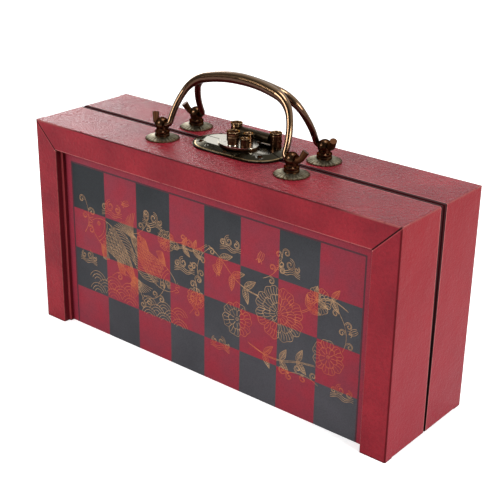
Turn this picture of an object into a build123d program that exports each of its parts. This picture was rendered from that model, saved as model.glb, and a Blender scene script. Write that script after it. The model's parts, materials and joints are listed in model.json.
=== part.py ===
import os
from math import asin, cos, degrees, hypot, radians, sin

from build123d import *

os.makedirs("parts", exist_ok=True)

# Folding chess set: two shallow trays hinged along their lower edge. Closed, it stands on
# that edge and is carried by two bails on top; opened half a turn, the two outer faces
# make one eight by eight board. The men lie in recessed inserts inside.
# X runs along the handle, +Y to the rear tray, Z up. The origin is the middle of the
# underside. Everything is written for the rear tray and mirrored for the front one.

# Cutters run this far past a face, and fused pieces into each other
overcut = 1.0
# An edge counts as lying at a place when it is this near
edge_reach = 0.01

# Case
case_width = 320.0
case_height = 162.0
tray_depth = 47.5
wall = 10.0
edge_radius = 1.0
groove_width = 1.2
groove_depth = 3.0

# Picture frame round the board
frame_width = 20.0
frame_depth = 8.0
bead_width = 2.0
bead_depth = 3.0
panel_thickness = 4.0

# Leather hinge let into the underside
strip_end_gap = 2.0
strip_width = 18.0
strip_thickness = 0.9

# Fitted insert
insert_thickness = 15.5
insert_gap = 0.3
pocket_gap = 0.3
pocket_sink = 1.5
officer_foot_room = 5.0
pawn_head_room = 12.0
end_gap = 1.5

# Handle posts, rosettes and nuts
handle_x = -0.9
post_spacing = 115.2
post_from_seam = 18.0
pivot_height = 10.5
eye_radius = 5.0
eye_width = 6.4
collar_radius = 5.3
collar_groove = 0.6
collar_height = 4.2
shank_radius = 2.0
shank_hole_gap = 0.1
nut_across = 7.0
nut_height = 3.2
nut_seat_depth = 4.0
nut_seat_radius = 4.6
rosette_radius = 12.3
rosette_height = 2.4
rosette_rim = 0.9
scallops = 24
scallop_radius = 1.9
scallop_depth = 0.55
rosette_shoulder = 0.75

# Bails
bail_height = 42.9
bail_end_radius = 2.15
bail_leg_radius = 2.2
bail_bow_radius = 2.45
bail_shoulder_radius = 3.6
bail_grip_radius = 4.05
bail_gap = 0.3
bore_gap = 0.08
elbow_radius = 3.2
elbow_gap = 0.1
leg_curve = 52.6
leg_turn = 25.0
shoulder_curve = 22.5
shoulder_turn = 49.0
tail_curve = 4.2
tail_turn = 68.0
tail_length = 4.6
tail_tip_radius = 2.5

# Lock plates
plate_x = -2.2
plate_length = 74.0
plate_width = 40.0
plate_rim = 1.2
plate_height = 3.4
plate_ledge = 1.4
plate_bevel = 6.8
plate_gap = 0.4
nail_places = [(-26.3, 10.5), (26.3, 10.5)]
front_nail_places = [(-26.3, -10.5), (26.3, -10.5), (0.0, -15.8)]
nail_sink = 0.35
nail_gap = 0.1
nail_radius = 0.8
nail_head = 1.7
nail_depth = 6.0

# Posts that carry the hasp
hinge_x = 0.8
hasp_post_x = 17.6
hasp_post_y = 14.0
hasp_post_radius = 4.35
hasp_post_height = 13.2
post_dish = 1.2
dish_wall = 0.9
hasp_axis_height = 7.2
hasp_pin_radius = 1.5
hasp_pin_gap = 0.08

# Hasp
barrel_radius = 3.6
barrel_end_gap = 0.25
hasp_thickness = 1.8
hasp_x = -1.4
hasp_half_length = 15.5
hasp_half_width = 11.5
hasp_centre_y = -2.5
neck_half_width = 8.5
stud_radius = 3.4
stud_height = 6.0
stud_places = [(2.0, 4.4), (7.4, -6.2)]
stud_shank = 1.4

# Locking peg
peg_x = -1.5
peg_y = -8.0
peg_radius = 4.8
peg_top = 15.0
peg_travel = 3.0
boss_radius = 4.0
boss_height = 3.2
peg_pin_radius = 1.5
peg_gap = 0.08
skirt_gap = 0.1
peg_hole_gap = 0.3

# Men: foot radius and height
men_sizes = {
    "king": (12.0, 62.0),
    "queen": (11.6, 57.0),
    "bishop": (11.0, 50.0),
    "knight": (11.0, 46.0),
    "rook": (11.0, 40.0),
    "pawn": (10.0, 38.0),
}
back_rank = ["rook", "knight", "bishop", "queen", "king", "bishop", "knight", "rook"]
pawn_rank = ["pawn"] * len(back_rank)

# Places that follow from the sizes above
half_width = case_width / 2
inner_half = half_width - wall
frame_back = tray_depth - frame_depth
panel_back = frame_back - panel_thickness
ceiling = case_height - wall
opening_half = half_width - frame_width
opening_top = case_height - frame_width
insert_face = panel_back - insert_thickness
men_axis_y = insert_face + pocket_sink
pocket_pitch = 2 * inner_half / len(back_rank)
officer_foot = wall + officer_foot_room
pawn_foot = ceiling - pawn_head_room - men_sizes["pawn"][1]
strip_half = inner_half - strip_end_gap
top = case_height
pivot_z = top + pivot_height
post_x = post_spacing / 2
handle_places = [handle_x - post_x, handle_x + post_x]
bail_bore = bail_end_radius + bore_gap
leg_x = post_x - eye_width / 2 - elbow_gap - elbow_radius
bail_lean = degrees(asin(post_from_seam / bail_height))
hasp_axis_z = top + hasp_axis_height
hasp_under = hasp_axis_z - barrel_radius
hasp_over = hasp_under + hasp_thickness
plate_top = top + plate_height
plate_seat = top + plate_rim
plateau_inset = plate_ledge + plate_bevel
hinge_posts = [hinge_x - hasp_post_x, hinge_x + hasp_post_x]
foot_share = 0.94


def block(x0, x1, y0, y1, z0, z1):
    return Pos((x0 + x1) / 2, (y0 + y1) / 2, (z0 + z1) / 2) * Box(x1 - x0, y1 - y0, z1 - z0)


def post(radius, x, y, z0, z1):
    return Pos(x, y, (z0 + z1) / 2) * Cylinder(radius, z1 - z0)


def turned(points):
    outline = make_face(Polyline(*[(r, 0, z) for r, z in points], close=True))
    return revolve(outline, Axis.Z)


def edges_at(part, **places):
    found = part.edges()
    for name, value in places.items():
        found = found.filter_by(
            lambda edge: abs(getattr(edge.center(), name) - value) < edge_reach
            and abs(getattr(edge @ 0, name) - value) < edge_reach
        )
    return found


def save(node, *solids):
    shape = solids[0] if len(solids) == 1 else Compound(children=list(solids))
    export_step(shape, f"parts/{node}.step")


def save_pair(name, *solids):
    save(f"rear_{name}", *solids)
    save(f"front_{name}", *[mirror(solid, Plane.XZ) for solid in solids])


# Seam groove that runs round the outside of the top and both sides
def seam_groove():
    side = half_width + overcut
    inner_side = half_width - groove_depth
    outer = block(-side, side, -overcut, groove_width, -overcut, top + overcut)
    core = block(-inner_side, inner_side, -overcut, groove_width, -overcut, top - groove_depth)
    return outer - core


def top_wall():
    wall_block = block(-half_width, half_width, 0, frame_back, ceiling, top)
    wall_block = fillet(edges_at(wall_block, X=half_width, Z=top), edge_radius)
    wall_block = fillet(edges_at(wall_block, X=-half_width, Z=top), edge_radius)
    wall_block -= seam_groove()
    for x in handle_places:
        wall_block -= post(shank_radius + shank_hole_gap, x, post_from_seam, ceiling, top)
        wall_block -= post(nut_seat_radius, x, post_from_seam, ceiling, ceiling + nut_seat_depth)
    return wall_block


def rear_top_wall():
    wall_block = top_wall()
    for x in hinge_posts:
        wall_block -= post(shank_radius, x, hasp_post_y, top - nail_depth, top)
    for x, y in nail_places:
        wall_block -= post(nail_radius, plate_x + x, y, top - nail_depth, top)
    return wall_block


def front_top_wall():
    wall_block = mirror(top_wall(), Plane.XZ)
    for x, y in front_nail_places:
        wall_block -= post(nail_radius, plate_x + x, y, top - nail_depth, top)
    return wall_block


def side_wall(side):
    slab = block(inner_half, half_width, 0, frame_back, 0, ceiling)
    slab = fillet(edges_at(slab, X=half_width, Z=0), edge_radius) - seam_groove()
    return slab if side > 0 else mirror(slab, Plane.YZ)


def hinge_wall():
    return block(-inner_half, inner_half, 0, panel_back, 0, wall) - hinge_strip()


def hinge_strip():
    return block(-strip_half, strip_half, 0, strip_width, 0, strip_thickness)


# Frame members are mitred at the top corners and carry a small bead next to the board
def mitred(outline, bead_outline):
    member = extrude(Plane.XZ * make_face(Polyline(*outline, close=True)), -frame_depth)
    bead = extrude(Plane.XZ * make_face(Polyline(*bead_outline, close=True)), -bead_depth)
    return Pos(0, frame_back, 0) * (member + bead)


def frame_rail():
    opening = opening_half - bead_width
    bead_low = opening_top - bead_width
    rail = mitred(
        [(-half_width, top), (half_width, top), (opening_half, opening_top), (-opening_half, opening_top)],
        [
            (-opening_half, opening_top),
            (opening_half, opening_top),
            (opening, bead_low),
            (-opening, bead_low),
        ],
    )
    rail = fillet(edges_at(rail, Y=tray_depth, Z=top), edge_radius)
    return fillet(edges_at(rail, Y=tray_depth, Z=opening_top), edge_radius)


def frame_stile(side):
    bead_x = opening_half - bead_width
    stile = mitred(
        [(half_width, top), (half_width, 0), (opening_half, 0), (opening_half, opening_top)],
        [(opening_half, opening_top), (opening_half, 0), (bead_x, 0), (bead_x, opening_top - bead_width)],
    )
    stile = fillet(edges_at(stile, Y=tray_depth, X=half_width), edge_radius)
    stile = fillet(edges_at(stile, Y=tray_depth, X=opening_half), edge_radius)
    return stile if side > 0 else mirror(stile, Plane.YZ)


def board_panel():
    return block(-inner_half, inner_half, panel_back, frame_back, 0, ceiling)


def pocket_x(place):
    return (place - (len(back_rank) - 1) / 2) * pocket_pitch


def pocket(x, foot, size):
    radius, length = size
    reach = radius + pocket_gap
    z0, z1 = foot - pocket_gap, foot + length + end_gap
    trough = post(reach, x, men_axis_y, z0, z1)
    return trough + block(x - reach, x + reach, insert_face - overcut, men_axis_y, z0, z1)


def piece_insert():
    edge = inner_half - insert_gap
    base = block(-edge, edge, insert_face, panel_back, wall + insert_gap, ceiling - insert_gap)
    for row, foot_height in ((back_rank, officer_foot), (pawn_rank, pawn_foot)):
        for place, name in enumerate(row):
            base -= pocket(pocket_x(place), foot_height, men_sizes[name])
    return base


# Handle hardware
def handle_post(x):
    seat = top + rosette_height
    ridge = collar_height / 4
    waist = collar_radius - collar_groove
    stem = turned(
        [
            (0, top - wall + nut_seat_depth - nut_height),
            (shank_radius, top - wall + nut_seat_depth - nut_height),
            (shank_radius, seat),
            (collar_radius, seat),
            (collar_radius, seat + ridge),
            (waist, seat + 1.6 * ridge),
            (collar_radius, seat + 2.2 * ridge),
            (collar_radius, seat + 3.2 * ridge),
            (waist - collar_groove, seat + collar_height),
            (waist - collar_groove, pivot_z),
            (0, pivot_z),
        ]
    )
    ball = Pos(0, 0, pivot_z) * Sphere(eye_radius)
    ball &= block(-eye_width / 2, eye_width / 2, -eye_radius, eye_radius, top, pivot_z + eye_radius)
    eye = stem + ball
    eye -= Pos(0, 0, pivot_z) * Rot(0, 90, 0) * Cylinder(bail_bore, 4 * eye_radius)
    return Pos(x, post_from_seam, 0) * eye


def handle_nut(x):
    blank = extrude(RegularPolygon(nut_across / 2, 6, major_radius=False), nut_height)
    nut = blank - Cylinder(shank_radius, 3 * nut_height)
    return Pos(x, post_from_seam, ceiling + nut_seat_depth - nut_height) * nut


def handle_rosette(x):
    hole = shank_radius + shank_hole_gap
    middle = (collar_radius + rosette_radius) / 2
    shoulder = rosette_rim + rosette_shoulder * (rosette_height - rosette_rim)
    disc = turned(
        [
            (hole, 0),
            (rosette_radius, 0),
            (rosette_radius, rosette_rim),
            (middle, shoulder),
            (collar_radius, rosette_height),
            (hole, rosette_height),
        ]
    )
    ring = PolarLocations(rosette_radius + scallop_radius - scallop_depth, scallops)
    disc -= ring * Cylinder(scallop_radius, 3 * rosette_height)
    return Pos(x, post_from_seam, top) * disc


# Bail centreline in its own plane, x along the case and y up from the pivot. The grip is
# flat where the two bails meet at the seam, so that together they make one round bar.
def half_bail():
    elbow = JernArc((leg_x + elbow_radius, 0), (-1, 0), elbow_radius, -90)
    shoulder_end = leg_turn + shoulder_turn
    bend_x = leg_curve * (1 - cos(radians(leg_turn)))
    bend_x += shoulder_curve * (cos(radians(leg_turn)) - cos(radians(shoulder_end)))
    rise = leg_curve * sin(radians(leg_turn))
    rise += shoulder_curve * (sin(radians(shoulder_end)) - sin(radians(leg_turn)))
    crown_x = leg_x - bend_x
    crown_curve = crown_x / cos(radians(shoulder_end))
    rise += crown_curve * (1 - sin(radians(shoulder_end)))
    leg = Line(elbow @ 1, (leg_x, bail_height - rise))
    bow = JernArc(leg @ 1, (0, 1), leg_curve, leg_turn)
    shoulder = JernArc(bow @ 1, bow % 1, shoulder_curve, shoulder_turn)
    crown = JernArc(shoulder @ 1, shoulder % 1, crown_curve, 90 - shoulder_end)
    tail_x = post_x + eye_width / 2 + elbow_gap
    eye = Line((tail_x, 0), elbow @ 0)
    curl = JernArc((tail_x, 0), (1, 0), tail_curve, tail_turn)
    tail = Line(curl @ 1, curl @ 1 + (curl % 1) * tail_length)
    return tail, curl, eye, elbow, leg, bow, shoulder, crown


def rod_span(edge, start_radius, end_radius):
    sections = [
        Plane(origin=edge @ at, x_dir=(0, 0, 1), z_dir=edge % at) * Circle(radius)
        for at, radius in ((0, start_radius), (1, end_radius))
    ]
    if start_radius == end_radius:
        return sweep(sections[0], path=edge)
    return sweep(sections, path=edge, multisection=True)


def bail():
    tail, curl, eye, elbow, leg, bow, shoulder, crown = half_bail()
    half = [
        rod_span(tail, bail_end_radius, tail_tip_radius),
        rod_span(curl, bail_end_radius, bail_end_radius),
        rod_span(eye, bail_end_radius, bail_end_radius),
        rod_span(elbow, bail_end_radius, bail_leg_radius),
        rod_span(leg, bail_leg_radius, bail_leg_radius),
        rod_span(bow, bail_leg_radius, bail_bow_radius),
        rod_span(shoulder, bail_bow_radius, bail_shoulder_radius),
        rod_span(crown, bail_shoulder_radius, bail_grip_radius),
    ]
    rod = Part() + half + [mirror(span, Plane.YZ) for span in half]
    upright = Pos(handle_x, post_from_seam, pivot_z) * Rot(90 + bail_lean, 0, 0) * rod.solid()
    past_seam = block(-half_width, half_width, -bail_height, bail_gap / 2, pivot_z, pivot_z + 2 * bail_height)
    return upright - past_seam


# Lock plates: one long rounded plate cut in two at the seam, with a wide bevel round a plateau
def whole_plate():
    rim = extrude(SlotOverall(plate_length, plate_width), plate_rim)
    ledge = SlotOverall(plate_length - 2 * plate_ledge, plate_width - 2 * plate_ledge)
    plateau = SlotOverall(plate_length - 2 * plateau_inset, plate_width - 2 * plateau_inset)
    rise = loft([Pos(0, 0, plate_rim) * ledge, Pos(0, 0, plate_height) * plateau])
    return Pos(plate_x, 0, top) * (rim + rise)


# Height of the plate's surface at a place measured from the middle of the plate
def plate_level(x, y):
    reach = hypot(max(abs(x) - (plate_length - plate_width) / 2, 0), y)
    down = (reach - plate_width / 2 + plateau_inset) / plate_bevel
    return plate_top - (plate_height - plate_rim) * min(max(down, 0), 1)


def nail_seat(x, y):
    return plate_level(x, y) - nail_sink


def nailed(half, places):
    for x, y in places:
        half -= post(nail_radius, plate_x + x, y, top, plate_top)
        half -= post(nail_head + nail_gap, plate_x + x, y, nail_seat(x, y), plate_top)
    return half


def rear_lock_plate():
    half = whole_plate() & block(-plate_length, plate_length, plate_gap, plate_width, top, plate_top)
    for x in hinge_posts:
        half -= post(shank_radius, x, hasp_post_y, top, plate_top)
        half -= post(foot_share * hasp_post_radius, x, hasp_post_y, plate_seat, plate_top)
    return nailed(half, nail_places)


def front_lock_plate():
    half = whole_plate() & block(-plate_length, plate_length, -plate_width, -plate_gap, top, plate_top)
    half -= post(peg_pin_radius + peg_hole_gap, peg_x, peg_y, top, plate_top)
    return nailed(half, front_nail_places)


def nail(x, y):
    seat = nail_seat(x, y)
    head = turned(
        [
            (0, seat),
            (nail_head, seat),
            (0.6 * nail_head, seat + 0.5 * nail_head),
            (0, seat + 0.6 * nail_head),
        ]
    )
    return Pos(plate_x + x, y, 0) * (head + post(nail_radius, 0, 0, top - nail_depth, seat))


# Upright posts have a dished top with a rolled rim
def dished(radius, z0, z1, shank, shank_foot):
    cup = radius - dish_wall
    return turned(
        [
            (0, shank_foot),
            (shank, shank_foot),
            (shank, z0),
            (foot_share * radius, z0),
            (foot_share * radius, z1 - 0.35 * radius),
            (radius, z1 - 0.25 * radius),
            (radius, z1 - 0.1 * radius),
            (radius - 0.4 * dish_wall, z1),
            (cup, z1 - 0.3 * post_dish),
            (0.6 * cup, z1 - post_dish),
            (0, z1 - post_dish),
        ]
    )


def hasp_post(x):
    stem = dished(hasp_post_radius, plate_seat, top + hasp_post_height, shank_radius, top - nail_depth)
    stem = Pos(x, hasp_post_y, 0) * stem
    bore = Pos(x, hasp_post_y, hasp_axis_z) * Rot(0, 90, 0)
    return stem - bore * Cylinder(hasp_pin_radius, 4 * hasp_post_radius)


def hasp_hinge_pin():
    length = 2 * (hasp_post_x + hasp_post_radius)
    return Pos(hinge_x, hasp_post_y, hasp_axis_z) * Rot(0, 90, 0) * Cylinder(hasp_pin_radius, length)


def hasp_plate():
    barrel_length = 2 * (hasp_post_x - hasp_post_radius - barrel_end_gap)
    barrel_place = Pos(hinge_x, hasp_post_y, hasp_axis_z) * Rot(0, 90, 0)
    tongue = Pos(hasp_x, hasp_centre_y) * Ellipse(hasp_half_length, hasp_half_width)
    neck = Pos(hasp_x, hasp_post_y / 2) * Rectangle(2 * neck_half_width, hasp_post_y)
    leaf = Pos(0, 0, hasp_under) * extrude(tongue + neck, hasp_thickness)
    boss = post(boss_radius, peg_x, peg_y, hasp_under, hasp_over + boss_height)
    hasp = leaf + barrel_place * Cylinder(barrel_radius, barrel_length) + boss
    hasp -= barrel_place * Cylinder(hasp_pin_radius + hasp_pin_gap, 2 * barrel_length)
    hasp -= post(peg_pin_radius + peg_gap, peg_x, peg_y, hasp_under, hasp_over + boss_height)
    for x, y in stud_places:
        hasp -= post(stud_shank, x, y, hasp_under, hasp_over)
    return hasp


def hasp_stud(x, y):
    return Pos(x, y, 0) * dished(stud_radius, hasp_over, hasp_over + stud_height, stud_shank, hasp_under)


# Peg with a skirt over the boss; pushed down, its pin enters the front plate
def locking_peg():
    skirt_foot = hasp_over + peg_travel + peg_gap
    cavity = boss_radius + skirt_gap
    cavity_top = hasp_over + boss_height + peg_travel + peg_gap
    knob = dished(peg_radius, skirt_foot, top + peg_top, peg_pin_radius, hasp_under)
    bell = post(cavity, 0, 0, hasp_under - overcut, cavity_top)
    pin = post(peg_pin_radius, 0, 0, hasp_under, cavity_top + overcut)
    return Pos(peg_x, peg_y, 0) * (knob - bell + pin)


# Men, turned about Z with the foot at z = 0
def turned_man(radius, height, outline):
    points = [(0, 0)] + [(r * radius, z * height) for r, z in outline] + [(0, outline[-1][1] * height)]
    return turned(points)


foot = [(1.0, 0), (1.0, 0.08)]
collar = [(0.3, 0.62), (0.56, 0.66), (0.32, 0.7)]


def pawn():
    radius, height = men_sizes["pawn"]
    ball = 0.5 * radius
    body = turned_man(radius, height, foot + [(0.3, 0.8)])
    return body + Pos(0, 0, height - ball) * Sphere(ball)


def rook():
    radius, height = men_sizes["rook"]
    tower = [(0.4, 0.64), (0.66, 0.7), (0.66, 1.0), (0.42, 1.0), (0.42, 0.9)]
    body = turned_man(radius, height, foot + tower)
    slot = block(-radius, radius, -0.12 * radius, 0.12 * radius, 0.9 * height, height)
    return body - slot - Rot(0, 0, 90) * slot


def bishop():
    radius, height = men_sizes["bishop"]
    body = turned_man(radius, height, foot + collar + [(0.5, 0.78), (0.14, 1.0)])
    cut = Rot(0, 35, 0) * Box(0.7 * radius, 2 * radius, 0.12 * radius)
    return body - Pos(0.4 * radius, 0, 0.86 * height) * cut


def queen():
    radius, height = men_sizes["queen"]
    body = turned_man(radius, height, foot + collar + [(0.6, 0.92), (0.2, 0.92), (0.2, 1.0)])
    for turn in (0, 60, 120):
        notch = Box(2 * radius, 0.16 * radius, 0.1 * height)
        body -= Pos(0, 0, 0.92 * height) * Rot(0, 0, turn) * notch
    return body.solid()


def king():
    radius, height = men_sizes["king"]
    body = turned_man(radius, height, foot + collar + [(0.54, 0.86), (0.2, 0.9)])
    arm = 0.08 * radius
    upright = block(-arm, arm, -arm, arm, 0.88 * height, height)
    return body + upright + block(-3 * arm, 3 * arm, -arm, arm, 0.93 * height, 0.96 * height)


def knight():
    radius, height = men_sizes["knight"]
    body = turned_man(radius, height, foot + [(0.6, 0.2), (0.6, 0.28)])
    outline = [
        (-0.5, 0.26),
        (0.55, 0.26),
        (0.5, 0.45),
        (0.22, 0.6),
        (0.4, 0.66),
        (0.78, 0.62),
        (0.86, 0.72),
        (0.42, 0.88),
        (0.1, 1.0),
        (-0.16, 0.92),
        (-0.52, 0.74),
        (-0.66, 0.5),
    ]
    head = make_face(Polyline(*[(x * radius, z * height) for x, z in outline], close=True))
    return body + extrude(Plane.XZ * head, 0.32 * radius, both=True)


makers = {"king": king, "queen": queen, "bishop": bishop, "knight": knight, "rook": rook, "pawn": pawn}


def save_men(row, foot_height):
    for name in dict.fromkeys(row):
        man = makers[name]()
        places = [place for place, here in enumerate(row) if here == name]
        plural = name if len(places) == 1 else f"{name}s"
        lying = [Pos(pocket_x(place), men_axis_y, foot_height) * man for place in places]
        save(f"dark_{plural}", *lying)
        save(f"red_{plural}", *[mirror(solid, Plane.XZ) for solid in lying])


save("rear_top_wall", rear_top_wall())
save("front_top_wall", front_top_wall())
for label, side in (("left", -1), ("right", 1)):
    save_pair(f"side_wall_{label}", side_wall(side))
    save_pair(f"frame_stile_{label}", frame_stile(side))
save_pair("hinge_wall", hinge_wall())
save_pair("hinge_strip", hinge_strip())
save_pair("frame_rail", frame_rail())
save_pair("board_panel", board_panel())
save_pair("piece_insert", piece_insert())
save_pair("handle_posts", *[handle_post(x) for x in handle_places])
save_pair("handle_nuts", *[handle_nut(x) for x in handle_places])
save_pair("handle_rosettes", *[handle_rosette(x) for x in handle_places])
save_pair("bail", bail())
save("rear_lock_plate", rear_lock_plate())
save("front_lock_plate", front_lock_plate())
save("rear_lock_nails", *[nail(x, y) for x, y in nail_places])
save("front_lock_nails", *[nail(x, y) for x, y in front_nail_places])
save("hasp_posts", *[hasp_post(x) for x in hinge_posts])
save("hasp_hinge_pin", hasp_hinge_pin())
save("hasp_plate", hasp_plate())
save("hasp_studs", *[hasp_stud(x, y) for x, y in stud_places])
save("locking_peg", locking_peg())
save_men(back_rank, officer_foot)
save_men(pawn_rank, pawn_foot)
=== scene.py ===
import json
from math import atan2, cos, hypot, pi, radians, sin

import bmesh
import bpy
from mathutils import Matrix, Vector


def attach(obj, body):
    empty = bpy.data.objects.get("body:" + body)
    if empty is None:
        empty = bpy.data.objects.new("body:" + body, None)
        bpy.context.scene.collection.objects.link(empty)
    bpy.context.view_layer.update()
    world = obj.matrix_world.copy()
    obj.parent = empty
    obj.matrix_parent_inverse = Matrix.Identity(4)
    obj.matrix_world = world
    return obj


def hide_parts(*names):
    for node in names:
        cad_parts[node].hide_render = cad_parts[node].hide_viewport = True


# Looks of the folding chess set. Sizes are in millimetres unless a name says otherwise;
# every mesh is scaled to metres when it becomes an object.
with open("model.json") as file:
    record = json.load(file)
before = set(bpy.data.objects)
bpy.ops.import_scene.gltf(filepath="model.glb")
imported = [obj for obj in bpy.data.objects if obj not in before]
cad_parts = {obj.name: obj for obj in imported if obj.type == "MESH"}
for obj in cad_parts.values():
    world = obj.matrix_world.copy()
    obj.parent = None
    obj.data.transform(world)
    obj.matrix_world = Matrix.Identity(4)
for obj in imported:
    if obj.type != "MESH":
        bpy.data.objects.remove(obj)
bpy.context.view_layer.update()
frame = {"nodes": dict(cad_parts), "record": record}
nodes = frame["nodes"]
mm = 0.001

case = {"halfWidth": 160.0, "height": 162.0, "depth": 47.5, "frameWidth": 20.0, "frameDepth": 8.0}
board = {"square": 32.5, "edgeX": 131.2, "edgeZ": 132.4, "line": 1.3}
handle = {"middle": -0.9, "postX": 57.6, "postY": 18.0}
lock = {"plateX": -2.2, "core": 17.0, "plateau": 11.8, "bevel": 18.6, "leafTop": 5.3, "barrelY": 9.8}
bpy.context.scene.view_settings.view_transform = "Standard"


# Node trees: a socket that can stand in a sum, and one way to add any other node
class Wire:
    def __init__(self, tree, socket=None):
        self.tree = tree
        self.socket = socket

    def node(self, kind, settings=None, inputs=None, out=0):
        made = self.tree.nodes.new("ShaderNode" + kind)
        for name, value in (settings or {}).items():
            setattr(made, name, value)
        for name, value in (inputs or {}).items():
            if isinstance(value, Wire):
                self.tree.links.new(value.socket, made.inputs[name])
            else:
                made.inputs[name].default_value = value
        if isinstance(out, tuple):
            return [Wire(self.tree, made.outputs[name]) for name in out]
        return Wire(self.tree, made.outputs[out])

    def maths(self, operation, *values):
        return self.node("Math", {"operation": operation}, dict(enumerate(values)))

    def __add__(self, other):
        return self.maths("ADD", self, other)

    def __sub__(self, other):
        return self.maths("SUBTRACT", self, other)

    def __mul__(self, other):
        return self.maths("MULTIPLY", self, other)

    def __truediv__(self, other):
        return self.maths("DIVIDE", self, other)

    def __rsub__(self, other):
        return self.maths("SUBTRACT", other, self)

    __radd__ = __add__
    __rmul__ = __mul__

    def __lt__(self, other):
        return self.maths("LESS_THAN", self, other)

    def __gt__(self, other):
        return self.maths("GREATER_THAN", self, other)

    def __mod__(self, other):
        return self.maths("FLOORED_MODULO", self, other)

    def __abs__(self):
        return self.maths("ABSOLUTE", self)

    def clamped(self):
        return self.node("Clamp", None, {0: self})

    def near(self, place, reach):
        return (1 - abs(self - place) / reach).clamped()

    def most(self, other):
        return self.maths("MAXIMUM", self, other)

    def least(self, other):
        return self.maths("MINIMUM", self, other)

    def root(self):
        return self.maths("SQRT", self)

    def floored(self):
        return self.maths("FLOOR", self)

    def mix(self, first, second):
        return self.node("Mix", {"data_type": "RGBA"}, {0: self, 6: first, 7: second}, 2)

    def noise(self, size, detail=2.0, rough=0.5):
        settings = {"Vector": self, "Scale": 1 / size, "Detail": detail, "Roughness": rough}
        return self.node("TexNoise", None, settings, "Fac")

    def contrast(self, low, high):
        return ((self - low) / (high - low)).clamped()


# A finish is a material with its Principled shader; constants go straight on its sockets
class Finish:
    def __init__(self, name, **plain):
        self.material = bpy.data.materials.new(name)
        self.material.use_nodes = True
        self.wire = Wire(self.material.node_tree)
        self.shader = self.material.node_tree.nodes["Principled BSDF"]
        for socket, value in plain.items():
            self.shader.inputs[socket.replace("_", " ")].default_value = value
        metres = self.wire.node("TexCoord", None, None, "Object")
        self.place = self.wire.node("VectorMath", {"operation": "SCALE"}, {0: metres, "Scale": 1000.0})
        self.x, self.y, self.z = self.wire.node("SeparateXYZ", None, {0: self.place}, ("X", "Y", "Z"))

    def paint(self, socket, wire):
        self.wire.tree.links.new(wire.socket, self.shader.inputs[socket])

    def bump(self, height, strength, depth):
        values = {"Height": height, "Strength": strength, "Distance": depth * mm}
        self.paint("Normal", self.wire.node("Bump", None, values))


def rgb(red, green, blue):
    return tuple(linear(value) for value in (red, green, blue)) + (1.0,)


# A colour is written as it is seen on a screen, 0 to 255
def linear(value):
    value /= 255
    return value / 12.92 if value <= 0.04045 else ((value + 0.055) / 1.055) ** 2.4


# Camera fitted to the corners of the case, in metres and degrees
camera = {
    "place": (0.46954, -0.56773, 0.40631),
    "azimuth": 39.084,
    "elevation": 23.461,
    "roll": 0.928,
    "lens": 80.677,
    "sensor": 36.0,
}


def addCamera():
    azimuth, elevation, roll = (radians(camera[name]) for name in ("azimuth", "elevation", "roll"))
    back = Vector((sin(azimuth) * cos(elevation), -cos(azimuth) * cos(elevation), sin(elevation)))
    level = Vector((0, 0, 1)).cross(back).normalized()
    rise = back.cross(level)
    right = level * cos(roll) + rise * sin(roll)
    up = rise * cos(roll) - level * sin(roll)
    data = bpy.data.cameras.new("photoCamera")
    data.lens = camera["lens"]
    data.sensor_width = camera["sensor"]
    data.clip_start, data.clip_end = 0.01, 20
    eye = bpy.data.objects.new("photoCamera", data)
    eye.matrix_world = Matrix.Translation(camera["place"]) @ Matrix((right, up, back)).transposed().to_4x4()
    bpy.context.scene.collection.objects.link(eye)
    bpy.context.scene.camera = eye


# Studio: place and aim in metres, size of the softbox in metres, power in watts
lamps = {
    "frontSoftbox": {"place": (-0.7, -1.5, 1.0), "size": 0.6, "power": 15.5},
    "rightSoftbox": {"place": (1.6, -0.2, 0.8), "size": 0.55, "power": 16.5},
    "topSoftbox": {"place": (0.1, 0.2, 1.6), "size": 0.5, "power": 7.5},
    "backSoftbox": {"place": (-1.75, 1.0, 0.72), "size": 0.9, "power": 13.5},
}
lampTarget = (0.0, 0.0, 0.1)
room = {"ambient": 0.55, "darkSide": 0.1, "behind": 0.9, "fadeFrom": -0.35, "fadeTo": 0.45}
white, black = (1, 1, 1, 1), (0, 0, 0, 1)


def addLamps():
    for name, lamp in lamps.items():
        data = bpy.data.lights.new(name, "AREA")
        data.size = lamp["size"]
        data.energy = lamp["power"]
        box = bpy.data.objects.new(name, data)
        box.location = lamp["place"]
        aim = Vector(lampTarget) - Vector(lamp["place"])
        box.rotation_euler = aim.to_track_quat("-Z", "Y").to_euler()
        box.visible_camera = False
        bpy.context.scene.collection.objects.link(box)


# The room is white behind the set and darker on the camera's side, as seen by gloss and metal
def addRoom():
    world = bpy.data.worlds.new("studio")
    world.use_nodes = True
    bpy.context.scene.world = world
    wire = Wire(world.node_tree)
    seen = ("Is Camera Ray", "Is Glossy Ray", "Is Transmission Ray")
    toCamera, toGloss, through = wire.node("LightPath", None, None, seen)
    along = wire.node("TexCoord", None, None, "Generated")
    depth = wire.node("SeparateXYZ", None, {0: along}, "Y")
    behind = depth.contrast(room["fadeFrom"], room["fadeTo"])
    gloss = behind * (room["behind"] - room["darkSide"]) + room["darkSide"]
    strength = toCamera + (1 - toCamera) * (toGloss * gloss + (1 - toGloss) * room["ambient"])
    strength = strength.most(through)
    background = world.node_tree.nodes["Background"]
    background.inputs["Color"].default_value = white
    world.node_tree.links.new(strength.socket, background.inputs["Strength"])


# White to the camera, light grey to the rest of the light
floorSheet = {"halfWidth": 3.0, "grey": (0.82, 0.82, 0.82, 1), "glow": 0.42}


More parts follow.
